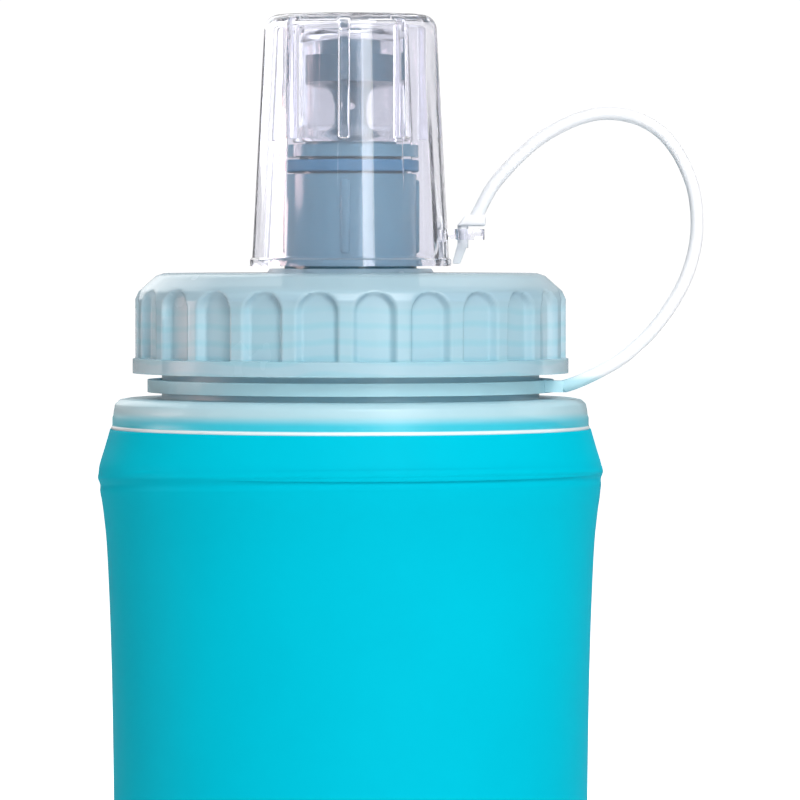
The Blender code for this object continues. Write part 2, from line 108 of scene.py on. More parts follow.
def select_only(piece):
    bpy.ops.object.select_all(action="DESELECT")
    piece.select_set(True)
    bpy.context.view_layer.objects.active = piece


def turned(name, outline, sides, sectors=8):
    """A round piece: (radius, height) points in millimetres, drawn by extruding one vertex.

    One sector is spun, and its copies are set round the axis and merged, which is quicker.
    """
    (radius, height), *rest = outline
    bpy.ops.object.select_all(action="DESELECT")
    bpy.ops.mesh.primitive_plane_add(size=MM, location=(radius * MM, 0.0, height * MM))
    made = bpy.context.object
    made.name = name
    bpy.ops.object.transform_apply(location=True, rotation=False, scale=False)
    bpy.ops.object.mode_set(mode="EDIT")
    bpy.ops.mesh.select_all(action="SELECT")
    bpy.ops.mesh.merge(type="CENTER")
    for next_radius, next_height in rest:
        step = ((next_radius - radius) * MM, 0.0, (next_height - height) * MM)
        bpy.ops.mesh.extrude_region_move(TRANSFORM_OT_translate={"value": step})
        radius, height = next_radius, next_height
    sector = math.tau / sectors
    bpy.ops.mesh.select_all(action="SELECT")
    bpy.ops.mesh.spin(steps=sides // sectors, angle=sector, center=(0, 0, 0), axis=(0, 0, 1))
    bpy.ops.mesh.select_all(action="SELECT")
    bpy.ops.mesh.spin(
        steps=sectors - 1,
        dupli=True,
        angle=math.tau - sector,
        center=(0, 0, 0),
        axis=(0, 0, 1),
    )
    bpy.ops.mesh.select_all(action="SELECT")
    bpy.ops.mesh.remove_doubles(threshold=0.01 * MM)
    bpy.ops.mesh.normals_make_consistent(inside=False)
    bpy.ops.object.mode_set(mode="OBJECT")
    return made


def modified(piece, kind, **settings):
    """Adds a modifier with its settings and applies it."""
    select_only(piece)
    step = piece.modifiers.new(kind.lower(), kind)
    for key, value in settings.items():
        setattr(step, key, value)
    bpy.ops.object.modifier_apply(modifier=step.name)


def round_edges(piece, width, segments=2, angle=32.0):
    """A small round on every edge sharper than an angle in degrees."""
    modified(
        piece,
        "BEVEL",
        width=width,
        segments=segments,
        limit_method="ANGLE",
        angle_limit=math.radians(angle),
    )


def painted(piece, finish, sharp=38.0):
    """Shades a piece smooth, with edges over sharp degrees kept, and gives it its material."""
    select_only(piece)
    bpy.ops.object.shade_smooth_by_angle(angle=math.radians(sharp))
    piece.data.materials.clear()
    piece.data.materials.append(finish)


def colour(hex_code):
    """An sRGB hex colour as linear RGBA."""
    channels = [int(hex_code[i : i + 2], 16) / 255 for i in (1, 3, 5)]
    linear = [c / 12.92 if c <= 0.04045 else ((c + 0.055) / 1.055) ** 2.4 for c in channels]
    return (*linear, 1.0)


def pick(made, chosen):
    """Opens a piece in Edit Mode with only the points that chosen(place) accepts selected."""
    select_only(made)
    bpy.ops.object.mode_set(mode="EDIT")
    bpy.ops.mesh.select_mode(type="VERT")
    bpy.ops.mesh.select_all(action="DESELECT")
    bpy.ops.object.mode_set(mode="OBJECT")
    for vertex in made.data.vertices:
        vertex.select = chosen(vertex.co)
    bpy.ops.object.mode_set(mode="EDIT")


def new_material(name, **settings):
    """A material of one Principled shader, with settings by socket name. Returns it and the shader."""
    made = bpy.data.materials.new(name)
    made.use_nodes = True
    shader = made.node_tree.nodes["Principled BSDF"]
    for key, value in settings.items():
        shader.inputs[key.replace("_", " ")].default_value = value
    return made, shader


def add_node(owner, kind, links=(), **settings):
    """Adds a node to a material or world, sets it, and links (output, input name) pairs into it."""
    tree = owner.node_tree
    node = tree.nodes.new(kind)
    for key, value in settings.items():
        if hasattr(node, key):
            setattr(node, key, value)
        else:
            node.inputs[key.replace("_", " ")].default_value = value
    for output, name in links:
        tree.links.new(output, node.inputs[name])
    return node


def moulded_skin(owner, shader, colours, patch, rough, grain, depth):
    """A plastic's surface: two near colours in soft patches, uneven gloss, and a fine raised grain.

    colours are the light and the dark one, patch and grain are the sizes of the patches and of the
    grain, rough is the lowest and highest roughness, and depth is the grain's height.
    """
    place = add_node(owner, "ShaderNodeTexCoord").outputs["Object"]
    cloud = add_node(
        owner, "ShaderNodeTexNoise", [(place, "Vector")], Scale=1 / patch, Detail=3.0
    ).outputs["Fac"]
    blend = add_node(owner, "ShaderNodeMix", [(cloud, "Factor")], data_type="RGBA")
    blend.inputs[6].default_value = colour(colours[1])
    blend.inputs[7].default_value = colour(colours[0])
    owner.node_tree.links.new(blend.outputs[2], shader.inputs["Base Color"])
    gloss = add_node(
        owner,
        "ShaderNodeMapRange",
        [(cloud, "Value")],
        From_Min=0.3,
        From_Max=0.7,
        To_Min=rough[0],
        To_Max=rough[1],
    ).outputs["Result"]
    owner.node_tree.links.new(gloss, shader.inputs["Roughness"])
    pores = add_node(
        owner, "ShaderNodeTexNoise", [(place, "Vector")], Scale=1 / grain, Detail=2.0
    ).outputs["Fac"]
    relief = add_node(
        owner, "ShaderNodeBump", [(pores, "Height")], Strength=1.0, Distance=depth
    ).outputs["Normal"]
    owner.node_tree.links.new(relief, shader.inputs["Normal"])
    return blend.outputs[2]


# Dyed polyurethane film: satin, saturated, with hardly any white gloss face on.
blown_film, shader = new_material(
    "blown_polyurethane_film", Specular_IOR_Level=0.01, IOR=1.5, Diffuse_Roughness=0.2
)
moulded_skin(
    blown_film,
    shader,
    ("#00BDD4", "#00B5CD"),
    patch=18 * MM,
    rough=(0.4, 0.48),
    grain=0.9 * MM,
    depth=0.004 * MM,
)

outline = [Vector((radius, height, 0.0)) for radius, height in FILM_OUTLINE]
film = turned("flask_film", [(p.x, p.y) for p in smooth_line(outline, 4)], FILM_SIDES)
pick(film, lambda place: abs(place.z - CREASE_Z) < CREASE_REACH)
for angle, axis in ((CREASE_TILT, "Y"), (CREASE_LEAN, "X")):
    bpy.ops.transform.rotate(value=angle, orient_axis=axis, center_override=(0.0, 0.0, CREASE_Z))
bpy.ops.object.mode_set(mode="OBJECT")
modified(film, "SOLIDIFY", thickness=FILM_THICKNESS, offset=-1.0)
round_edges(film, 0.2 * MM)
painted(film, blown_film)
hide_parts("bladder_film")
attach(film, "flask")


# ---- collar and neck ----------------------------------------------------------------
# The collar is one injection moulding in natural polyurethane: a threaded neck, a wide shoulder
# that caps the bladder, and a short skirt that the film's top is welded to.
COLLAR_SIDES = 160
NECK_RADIUS, NECK_BORE = 20.0, 17.6
NECK_RIM = node_size("neck_collar")[2]
FLANGE_RADIUS, FLANGE_TOP = 26.5, 122.4
WELD_TOP = 119.4
THREAD_PITCH, THREAD_HEIGHT = 3.6, 1.0
THREAD_START, THREAD_TURNS = 126.6, 1.25
THREAD_ROOT, THREAD_CREST = 1.4, 0.7  # widths at the foot and at the top of the ridge
THREAD_FADE = 0.08  # turns over which the ridge sinks into the wall at each end


def stepped(start, end, step):
    """Points from one (radius, height) to another, about a step apart, without the first."""
    count = max(1, round(math.dist(start, end) / step))
    return [
        tuple(a + (b - a) * i / count for a, b in zip(start, end)) for i in range(1, count + 1)
    ]


def pressed(piece, radius, share_at):
    """Draws a round wall's points towards a cylinder of that radius, by share_at(x, y, z), 0 to 1."""
    group = piece.vertex_groups.new(name="pressed")
    for vertex in piece.data.vertices:
        share = share_at(*(vertex.co / MM))
        if share > 0.0:
            group.add([vertex.index], share, "REPLACE")
    modified(
        piece,
        "CAST",
        cast_type="CYLINDER",
        use_x=True,
        use_y=True,
        use_z=False,
        factor=1.0,
        use_radius_as_size=False,
        size=radius * MM,
        vertex_group=group.name,
    )
    piece.vertex_groups.clear()


def threaded(piece, wall, crest, start):
    """Draws one thread out of a round wall, from the wall's radius to the crest's."""

    def ridge(x, y, z):
        """How high a point lies on the ridge, from 0 at its root to 1 on its crest."""
        if abs(math.hypot(x, y) - wall) > 0.1:
            return 0.0
        share = 0.0
        for turn in (0, 1):
            along = (math.atan2(y, x) % math.tau) / math.tau + turn
            run_out = min(1.0, along / THREAD_FADE, (THREAD_TURNS - along) / THREAD_FADE)
            away = abs(z - start - THREAD_PITCH * along)
            flank = (THREAD_ROOT / 2 - away) / ((THREAD_ROOT - THREAD_CREST) / 2)
            share = max(share, min(1.0, flank) * run_out)
        return share

    pressed(piece, crest, ridge)


collar = turned(
    "flask_collar",
    [
        (NECK_BORE, NECK_RIM),
        (NECK_RADIUS, NECK_RIM),
        *stepped((NECK_RADIUS, NECK_RIM), (NECK_RADIUS, FLANGE_TOP), 0.17),
        (FLANGE_RADIUS - 1.6, FLANGE_TOP),
        (FLANGE_RADIUS - 0.8, FLANGE_TOP - 0.15),
        (FLANGE_RADIUS - 0.3, FLANGE_TOP - 0.6),
        (FLANGE_RADIUS - 0.15, FLANGE_TOP - 1.4),
        (FLANGE_RADIUS - 0.1, 120.5),
        (FLANGE_RADIUS, 120.3),
        (FLANGE_RADIUS, WELD_TOP),
        (FLANGE_RADIUS + 0.12, WELD_TOP - 0.15),
        (FLANGE_RADIUS + 0.14, WELD_TOP - 0.4),
        (FLANGE_RADIUS, WELD_TOP - 0.5),
        (25.8, WELD_TOP - 0.5),
        (26.4, 117.0),
        (26.9, 115.3),
        (27.05, 114.0),
        (26.1, 113.8),
        (25.7, 115.4),
        (24.6, 118.0),
        (23.2, 119.6),
        (18.8, 120.5),
        (NECK_BORE, 121.8),
        (NECK_BORE, NECK_RIM),
    ],
    COLLAR_SIDES,
)
threaded(collar, NECK_RADIUS, NECK_RADIUS + THREAD_HEIGHT, THREAD_START)
round_edges(collar, 0.25 * MM)


def height_in(owner):
    """The height of each point, for a material's nodes."""
    place = add_node(owner, "ShaderNodeTexCoord").outputs["Object"]
    return add_node(owner, "ShaderNodeSeparateXYZ", [(place, "Vector")]).outputs["Z"]


def tint_and_painted_light(owner, below, measure, start, end, hex_code):
    """Blends the colour below towards hex_code as a measure goes from start to end, in millimetres."""
    share = add_node(
        owner,
        "ShaderNodeMapRange",
        [(measure, "Value")],
        From_Min=start * MM,
        From_Max=end * MM,
        interpolation_type="SMOOTHSTEP",
    ).outputs["Result"]
    mixed = add_node(owner, "ShaderNodeMix", [(share, "Factor"), (below, 6)], data_type="RGBA")
    mixed.inputs[7].default_value = colour(hex_code)
    return mixed.outputs[2]


# Natural polyurethane, frosted by the mould: cloudy and pale blue, with a soft gloss. The thread on
# the neck is pale cyan. The rest is painted light: the neck's wall below the thread is painted nearly
# white where the cap shades it, the skirt is painted cyan for the film's light glowing through it,
# and a painted white highlight runs along the weld.
frosted_collar, shader = new_material("frosted_polyurethane", IOR=1.5, Alpha=0.78)
cloudy = moulded_skin(
    frosted_collar,
    shader,
    ("#C2E6F0", "#B4DEEA"),
    patch=6 * MM,
    rough=(0.3, 0.38),
    grain=0.5 * MM,
    depth=0.002 * MM,
)
place = add_node(frosted_collar, "ShaderNodeTexCoord").outputs["Object"]
flat = add_node(frosted_collar, "ShaderNodeVectorMath", [(place, 0)], operation="MULTIPLY")
flat.inputs[1].default_value = (1.0, 1.0, 0.0)
radius = add_node(
    frosted_collar, "ShaderNodeVectorMath", [(flat.outputs[0], 0)], operation="LENGTH"
).outputs["Value"]
height = height_in(frosted_collar)
tint = cloudy
# Bands over the cloudy colour: the neck's wall painted nearly white as painted light, the thread's
# pale cyan, the skirt's painted cyan light from the film, and the weld's painted white highlight.
for measure, start, end, hex_code in (
    (radius, NECK_RADIUS + 0.9, NECK_RADIUS + 0.4, "#EEF8FB"),
    (height, THREAD_START - 1.6, THREAD_START - 0.6, "#A5DFEA"),
    (height, FLANGE_TOP - 1.2, FLANGE_TOP - 2.5, "#3CCDE3"),
    (height, WELD_TOP + 0.05, WELD_TOP - 0.1, "#F6FDFF"),
):
    tint = tint_and_painted_light(frosted_collar, tint, measure, start, end, hex_code)
frosted_collar.node_tree.links.new(tint, shader.inputs["Base Color"])
painted(collar, frosted_collar)
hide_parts("neck_collar")
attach(collar, "flask")


# ---- foot ---------------------------------------------------------------------------
# The foot is a moulded dish in the same cyan polyurethane, welded into the film's lower end. It
# stands on a raised ring, so the flask sits flat when it is full.
FOOT_RADIUS, FOOT_BOTTOM, FOOT_TOP = node_size("base_disc")
foot = turned(
    "flask_foot",
    [
        (0.0, 3.0),
        (22.6, 3.0),
        (23.5, 3.9),
        (23.8, FOOT_TOP),
        (24.85, FOOT_TOP),
        (24.65, 5.0),
        (24.25, 2.2),
        (24.6, 1.75),
        (FOOT_RADIUS, 1.7),
        (FOOT_RADIUS, 1.0),
        (24.6, 0.3),
        (23.6, FOOT_BOTTOM),
        (19.4, FOOT_BOTTOM),
        (18.9, 0.5),
        (18.7, 1.4),
        (8.0, 1.5),
        (7.4, 1.1),
        (6.6, 1.1),
        (6.0, 1.5),
        (0.0, 1.6),
    ],
    FILM_SIDES,
)
round_edges(foot, 0.2 * MM)
painted(foot, blown_film)
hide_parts("base_disc")
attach(foot, "flask")


# ---- cap washer ---------------------------------------------------------------------
# A flat washer die-cut from grey-blue silicone sheet. It is pushed up against the cap's ceiling,
# and the neck's rim bites into it.
WASHER_RADIUS, WASHER_BOTTOM, WASHER_TOP = node_size("cap_gasket")
WASHER_BORE, WASHER_SIDES, BITE_DEPTH = 17.3, 96, 0.15
washer = turned(
    "cap_washer",
    [
        (WASHER_BORE, WASHER_TOP),
        (WASHER_RADIUS, WASHER_TOP),
        (WASHER_RADIUS, WASHER_BOTTOM),
        (NECK_RADIUS - 0.4, WASHER_BOTTOM),
        (NECK_RADIUS - 0.6, WASHER_BOTTOM + BITE_DEPTH),
        (NECK_BORE + 0.6, WASHER_BOTTOM + BITE_DEPTH),
        (NECK_BORE + 0.4, WASHER_BOTTOM),
        (WASHER_BORE, WASHER_BOTTOM),
        (WASHER_BORE, WASHER_TOP),
    ],
    WASHER_SIDES,
)
round_edges(washer, 0.12 * MM)
# Filled silicone rubber: dull, and a deeper blue-grey than the plastics, with a dusty bloom.
seal_silicone, shader = new_material("grey_silicone_rubber", IOR=1.43)
moulded_skin(
    seal_silicone,
    shader,
    ("#5C96BA", "#508AAE"),
    patch=3 * MM,
    rough=(0.45, 0.6),
    grain=0.3 * MM,
    depth=0.006 * MM,
)
painted(washer, seal_silicone)
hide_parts("cap_gasket")
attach(washer, "gasket")


# ---- spout post ---------------------------------------------------------------------
# The post is a hollow moulding in blue-grey polypropylene that snaps up through the cap's centre.
# It has a plug in its middle, four ports round it, and four slim ribs outside.
POST_SIDES = 96
POST_FLANGE, POST_BOTTOM, POST_TOP = node_size("spout_post")
POST_RADIUS, POST_BORE, POST_SHOULDER = 7.35, 6.0, POST_TOP - 1.3
PLUG_RADIUS, PLUG_TOP, PORT_FLOOR = 3.3, 141.5, 135.6
SNAP_RADIUS, SNAP_BOTTOM = 8.05, 137.1  # the ridge that holds the post down on the cap
PORTS, PORT_FIRST = 4, math.radians(21.0)
POST_RIBS, RIB_FIRST = 4, math.radians(-94.3)


def block(centre, size):
    """A block to shape further, by its centre and size in millimetres."""
    bpy.ops.object.select_all(action="DESELECT")
    place = [length * MM for length in centre]
    bpy.ops.mesh.primitive_cube_add(size=MM, location=place, scale=size)
    bpy.ops.object.transform_apply(location=True, rotation=False, scale=True)
    return bpy.context.object


def rod(centre, radius, length, sides, turn=(0.0, 0.0, 0.0)):
    """A round rod, in millimetres. It stands upright unless it is turned."""
    bpy.ops.object.select_all(action="DESELECT")
    bpy.ops.mesh.primitive_cylinder_add(
        vertices=sides,
        radius=radius * MM,
        depth=length * MM,
        location=[length * MM for length in centre],
        rotation=turn,
    )
    bpy.ops.object.transform_apply(location=True, rotation=True, scale=False)
    return bpy.context.object


def copies_round(piece, count, first):
    """Copies a piece round Z, each copy with its own mesh, and turns each to its place."""
    made = [piece]
    for _ in range(count - 1):
        twin = piece.copy()
        twin.data = piece.data.copy()
        bpy.context.scene.collection.objects.link(twin)
        made.append(twin)
    for i, twin in enumerate(made):
        twin.rotation_euler = (0.0, 0.0, first + math.tau * i / count)
    return made


def fused(piece, tools, operation="UNION"):
    """Joins other meshes into one tool, then unites it with a piece or cuts it out of the piece."""
    bpy.ops.object.select_all(action="DESELECT")
    for tool in tools:
        tool.select_set(True)
    bpy.context.view_layer.objects.active = tools[0]
    bpy.ops.object.transform_apply(location=True, rotation=True, scale=True)
    if len(tools) > 1:
        bpy.ops.object.join()
    modified(piece, "BOOLEAN", operation=operation, object=tools[0], solver="EXACT")
    bpy.data.objects.remove(tools[0], do_unlink=True)


post = turned(
    "post_barrel",
    [
        (0.0, PLUG_TOP),
        (PLUG_RADIUS - 0.3, PLUG_TOP),
        (PLUG_RADIUS, PLUG_TOP - 0.3),
        (PLUG_RADIUS, PORT_FLOOR),
        (POST_BORE, PORT_FLOOR),
        (POST_BORE, POST_TOP),
        (POST_BORE + 0.35, POST_TOP),
        (POST_BORE + 0.35, POST_SHOULDER),
        (POST_RADIUS, POST_SHOULDER),
        (POST_RADIUS, SNAP_BOTTOM + 1.1),
        (SNAP_RADIUS, SNAP_BOTTOM + 0.5),
        (SNAP_RADIUS, SNAP_BOTTOM),
        (POST_RADIUS, SNAP_BOTTOM),
        (POST_RADIUS, WASHER_TOP),
        (8.0, WASHER_TOP),
        (8.0, WASHER_TOP - 0.9),
        (9.3, WASHER_TOP - 0.9),
        (9.3, WASHER_TOP),
        (POST_FLANGE, WASHER_TOP),
        (POST_FLANGE, POST_BOTTOM),
        (6.9, POST_BOTTOM),
        (6.6, POST_BOTTOM + 0.3),
        (6.6, POST_BOTTOM + 1.1),
        (0.0, POST_BOTTOM + 1.1),
    ],
    POST_SIDES,
)
port = rod((4.65, 0.0, 135.0), radius=0.8, length=4.0, sides=20)
fused(post, copies_round(port, PORTS, PORT_FIRST), "DIFFERENCE")
rib = block((POST_RADIUS - 0.05, 0.0, 142.6), (0.7, 1.0, 8.2))
round_edges(rib, 0.3 * MM, 3)
fused(post, copies_round(rib, POST_RIBS, RIB_FIRST))
round_edges(post, 0.08 * MM, 1, 40.0)
# Polypropylene tinted blue-grey and polished in the mould: glossy, with a little light through it.
spout_tint, shader = new_material("tinted_polypropylene", IOR=1.49, Transmission_Weight=0.2)
moulded_skin(
    spout_tint,
    shader,
    ("#84B6CC", "#7AACC2"),
    patch=4 * MM,
    rough=(0.14, 0.22),
    grain=0.6 * MM,
    depth=0.002 * MM,
)
painted(post, spout_tint)
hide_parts("spout_post")
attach(post, "cap")


# ---- post seal and seat ring --------------------------------------------------------
# Two small silicone seals: an O-ring that stops leaks between the post and the cap, and a flat
# ring on the post's shoulder that the mouthpiece closes onto.
RING_STRETCH = 1.004


def o_ring(name, node, minor):
    """A ring of round section, stretched a little over the groove that it sits in."""
    outer, low, high = node_size(node)
    height = (low + high) / 2 * MM
    bpy.ops.object.select_all(action="DESELECT")
    bpy.ops.mesh.primitive_torus_add(
        major_segments=96,
        minor_segments=16,
        major_radius=(outer - minor) * MM,
        minor_radius=minor * MM,
        location=(0.0, 0.0, height),
    )
    made = bpy.context.object
    made.name = name
    bpy.ops.object.transform_apply(location=True)
    bpy.ops.object.mode_set(mode="EDIT")
    bpy.ops.mesh.select_all(action="SELECT")
    bpy.ops.transform.resize(
        value=(RING_STRETCH, RING_STRETCH, 1.0), center_override=(0.0, 0.0, height)
    )
    bpy.ops.object.mode_set(mode="OBJECT")
    return made


post_seal = o_ring("post_seal", "post_o_ring", 0.38)
painted(post_seal, seal_silicone)
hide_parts("post_o_ring")
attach(post_seal, "cap")

SEAT_RADIUS, SEAT_BOTTOM, SEAT_TOP = node_size("seat_ring")
SEAT_BORE = 6.6
seat = turned(
    "seat_washer",
    [
        (SEAT_BORE, SEAT_TOP),
        (SEAT_RADIUS, SEAT_TOP),
        (SEAT_RADIUS, SEAT_BOTTOM),
        (SEAT_BORE, SEAT_BOTTOM),
        (SEAT_BORE, SEAT_TOP),
    ],
    POST_SIDES,
)
round_edges(seat, 0.22 * MM, 3)
painted(seat, seal_silicone)
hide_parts("seat_ring")
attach(seat, "cap")


# ---- screw cap ----------------------------------------------------------------------
# The cap is moulded in natural polypropylene, slightly blue. Its wall has 24 arched flutes for
# the fingers and a plain band below them, and a single-start thread inside.
FLUTES, FLUTE_FIRST = 24, math.radians(-83.2)
CAP_SIDES = 30 * FLUTES
CAP_FOOT_RADIUS, CAP_BOTTOM, BOSS_TOP = node_size("screw_cap")
CAP_RADIUS, CAP_BORE = CAP_FOOT_RADIUS - 0.3, 21.4
CAP_TOP, CAP_CEILING = BOSS_TOP - 0.5, 134.7
CAP_HOLE, BOSS_RADIUS = POST_RADIUS + 0.3, 9.0
FLUTE_HALF, FLUTE_FLOOR = 2.13, CAP_RADIUS - 1.0  # half its width, and the radius of its floor
FLUTE_BOTTOM, FLUTE_TOP = CAP_BOTTOM + 1.7, CAP_TOP - 2.0
FLUTE_EDGE = 0.55  # width of the soft edge round a flute


def flute_share(x, y, z):
    """How far a point of the cap's wall lies inside a flute: 0 outside, 1 on its floor."""
    if not FLUTE_FLOOR < math.hypot(x, y) < CAP_RADIUS + 0.05 or z < FLUTE_BOTTOM - FLUTE_EDGE:
        return 0.0
    spacing = math.tau / FLUTES
    turn = (math.atan2(y, x) - FLUTE_FIRST + spacing / 2) % spacing - spacing / 2
    across = abs(turn) * CAP_RADIUS
    spring = FLUTE_TOP - FLUTE_HALF
    inside = FLUTE_HALF - math.hypot(across, max(0.0, z - spring))
    inside = min(inside, (z - FLUTE_BOTTOM) * 2 + FLUTE_EDGE / 2)
    t = min(1.0, max(0.0, inside / FLUTE_EDGE + 0.5))
    return t * t * (3 - 2 * t)


cap = turned(
    "cap_shell",
    [
        (CAP_HOLE, BOSS_TOP),
        (BOSS_RADIUS, BOSS_TOP),
        (BOSS_RADIUS + 0.3, CAP_TOP),
        (CAP_RADIUS - 3.2, CAP_TOP),
        (CAP_RADIUS - 2.3, CAP_TOP - 0.3),
        *stepped((CAP_RADIUS - 2.3, CAP_TOP - 0.3), (CAP_RADIUS - 0.4, FLUTE_TOP), 0.25),
        *stepped((CAP_RADIUS - 0.4, FLUTE_TOP), (CAP_RADIUS, FLUTE_TOP - 0.9), 0.25),
        *stepped((CAP_RADIUS, FLUTE_TOP - 0.9), (CAP_RADIUS, FLUTE_BOTTOM), 0.22),
        (CAP_FOOT_RADIUS, FLUTE_BOTTOM - 0.08),
        (CAP_FOOT_RADIUS, CAP_BOTTOM),
        (CAP_BORE, CAP_BOTTOM),
        *stepped((CAP_BORE, CAP_BOTTOM), (CAP_BORE, CAP_CEILING), 0.25),
        (CAP_HOLE, CAP_CEILING),
        (CAP_HOLE, BOSS_TOP),
    ],
    CAP_SIDES,
    FLUTES,
)
pressed(cap, FLUTE_FLOOR, flute_share)
threaded(cap, CAP_BORE, CAP_BORE - THREAD_HEIGHT, THREAD_START + THREAD_PITCH / 2)
# Natural polypropylene: milky, with a soft gloss. The neck's cyan thread glows through it as faint,
# wavy bands, which are drawn in its colour and stop below the ceiling.
BANDS_TOP = 133.6
natural_cap, shader = new_material("natural_polypropylene", IOR=1.49, Alpha=0.68)
milky = moulded_skin(
    natural_cap,
    shader,
    ("#BCDAE6", "#B2D3E1"),
    patch=8 * MM,
    rough=(0.2, 0.28),
    grain=0.5 * MM,
    depth=0.002 * MM,
)
place = add_node(natural_cap, "ShaderNodeTexCoord").outputs["Object"]
wave = add_node(
    natural_cap,
    "ShaderNodeTexWave",
    [(place, "Vector")],
    bands_direction="Z",
    Scale=math.tau / (20 * THREAD_PITCH / 2 * MM),  # the texture's bands are tau / 20 / Scale apart
    Distortion=3.0,
    Detail=2.0,
    Detail_Scale=0.6,
).outputs["Fac"]
turns = add_node(
    natural_cap, "ShaderNodeMapRange", [(wave, "Value")], From_Min=0.45, To_Max=0.3
).outputs["Result"]
under_ceiling = add_node(
    natural_cap,
    "ShaderNodeMapRange",
    [(height_in(natural_cap), "Value")],
    From_Min=BANDS_TOP * MM,
    From_Max=(BANDS_TOP - 2.0) * MM,
).outputs["Result"]
bands = add_node(
    natural_cap, "ShaderNodeMath", [(turns, 0), (under_ceiling, 1)], operation="MULTIPLY"
).outputs[0]
shown = add_node(natural_cap, "ShaderNodeMix", [(bands, "Factor"), (milky, 6)], data_type="RGBA")
shown.inputs[7].default_value = colour("#7FCFDE")
natural_cap.node_tree.links.new(shown.outputs[2], shader.inputs["Base Color"])
painted(cap, natural_cap, sharp=66.0)
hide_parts("screw_cap")
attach(cap, "cap")


# ---- mouthpiece: core, seal and sheath ----------------------------------------------
# The core is a tinted polypropylene spool on a guide tube that slides in the post. An O-ring
# seals it, and a clear silicone sheath is stretched over its disc and seals on its flange.
CORE_FLANGE, CORE_BOTTOM, CORE_TOP = node_size("spout_core")
FLANGE_HEIGHTS = (149.2, 150.55)
GUIDE_RADIUS, GUIDE_BORE = 5.7, 3.6
GROOVE_RADIUS, GROOVE_HEIGHTS = 4.6, (142.6, 144.2)
DISC_RADIUS, DISC_HEIGHTS = 5.1, (157.6, 160.6)
NOSE_RADIUS, DUCT_RADIUS = 3.4, 1.1
core = turned(
    "spout_spool",
    [
        (0.0, CORE_TOP),
        (NOSE_RADIUS, CORE_TOP),
        (NOSE_RADIUS, DISC_HEIGHTS[1]),
        (DISC_RADIUS, DISC_HEIGHTS[1]),
        (DISC_RADIUS, DISC_HEIGHTS[0]),
        (3.3, 157.5),
        (2.5, 157.1),
        (2.05, 156.5),
        (1.85, 155.6),
        (1.8, 154.3),
        (1.85, 153.0),
        (2.1, 152.2),
        (2.7, 151.6),
        (3.6, 151.25),
        (DISC_RADIUS, 151.0),
        (DISC_RADIUS, FLANGE_HEIGHTS[1]),
        (CORE_FLANGE, FLANGE_HEIGHTS[1]),
        (CORE_FLANGE, FLANGE_HEIGHTS[0]),
        (GUIDE_RADIUS, FLANGE_HEIGHTS[0]),
        (GUIDE_RADIUS, GROOVE_HEIGHTS[1]),
        (GROOVE_RADIUS, GROOVE_HEIGHTS[1]),
        (GROOVE_RADIUS, GROOVE_HEIGHTS[0]),
        (GUIDE_RADIUS, GROOVE_HEIGHTS[0]),
        (GUIDE_RADIUS, CORE_BOTTOM),
        (GUIDE_BORE, CORE_BOTTOM),
        (GUIDE_BORE, 148.2),
        (DUCT_RADIUS, 150.0),
        (DUCT_RADIUS, 156.2),
        (0.0, 156.6),
    ],
    POST_SIDES,
)
for turn in (0.0, math.pi / 2):
    drill = rod((0.0, 0.0, 155.2), 0.55, 5.2, sides=20, turn=(math.pi / 2, 0.0, turn))
    fused(core, [drill], "DIFFERENCE")
round_edges(core, 0.12 * MM, 2, 40.0)
painted(core, spout_tint)
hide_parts("spout_core")
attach(core, "mouthpiece")

core_seal = o_ring("spout_seal", "spout_o_ring", 0.44)
painted(core_seal, seal_silicone)
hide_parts("spout_o_ring")
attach(core_seal, "mouthpiece")

SHEATH_FLARE, SHEATH_BOTTOM, SHEATH_TOP = node_size("bite_sheath")
SHEATH_RADIUS, SHEATH_BORE, SHEATH_MOUTH = 5.75, 5.35, 3.75
sheath = turned(
    "soft_sheath",
    [
        (SHEATH_MOUTH, SHEATH_TOP),
        (4.55, SHEATH_TOP),
        (5.1, SHEATH_TOP - 0.15),
        (5.5, SHEATH_TOP - 0.55),
        (5.72, SHEATH_TOP - 1.1),
        (SHEATH_RADIUS, SHEATH_TOP - 1.95),
        (SHEATH_RADIUS, 153.6),
        (5.85, 152.7),
        (6.1, 152.0),
        (SHEATH_FLARE, 151.4),
        (SHEATH_FLARE, SHEATH_BOTTOM),
        (SHEATH_BORE, SHEATH_BOTTOM),
        (SHEATH_BORE, SHEATH_TOP - 1.45),
        (4.75, SHEATH_TOP - 0.85),
        (SHEATH_MOUTH, SHEATH_TOP - 0.7),
        (SHEATH_MOUTH, SHEATH_TOP),
    ],
    POST_SIDES,
)
round_edges(sheath, 0.15 * MM)
# Clear liquid silicone rubber: soft, nearly colourless, and slightly hazy.
clear_sheath, shader = new_material("clear_silicone_rubber", IOR=1.41, Transmission_Weight=1.0)
moulded_skin(
    clear_sheath,
    shader,
    ("#F2F3F6", "#E9EBEF"),
    patch=3 * MM,
    rough=(0.08, 0.16),
    grain=0.4 * MM,
    depth=0.003 * MM,
)
painted(sheath, clear_sheath)
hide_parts("bite_sheath")
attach(sheath, "mouthpiece")


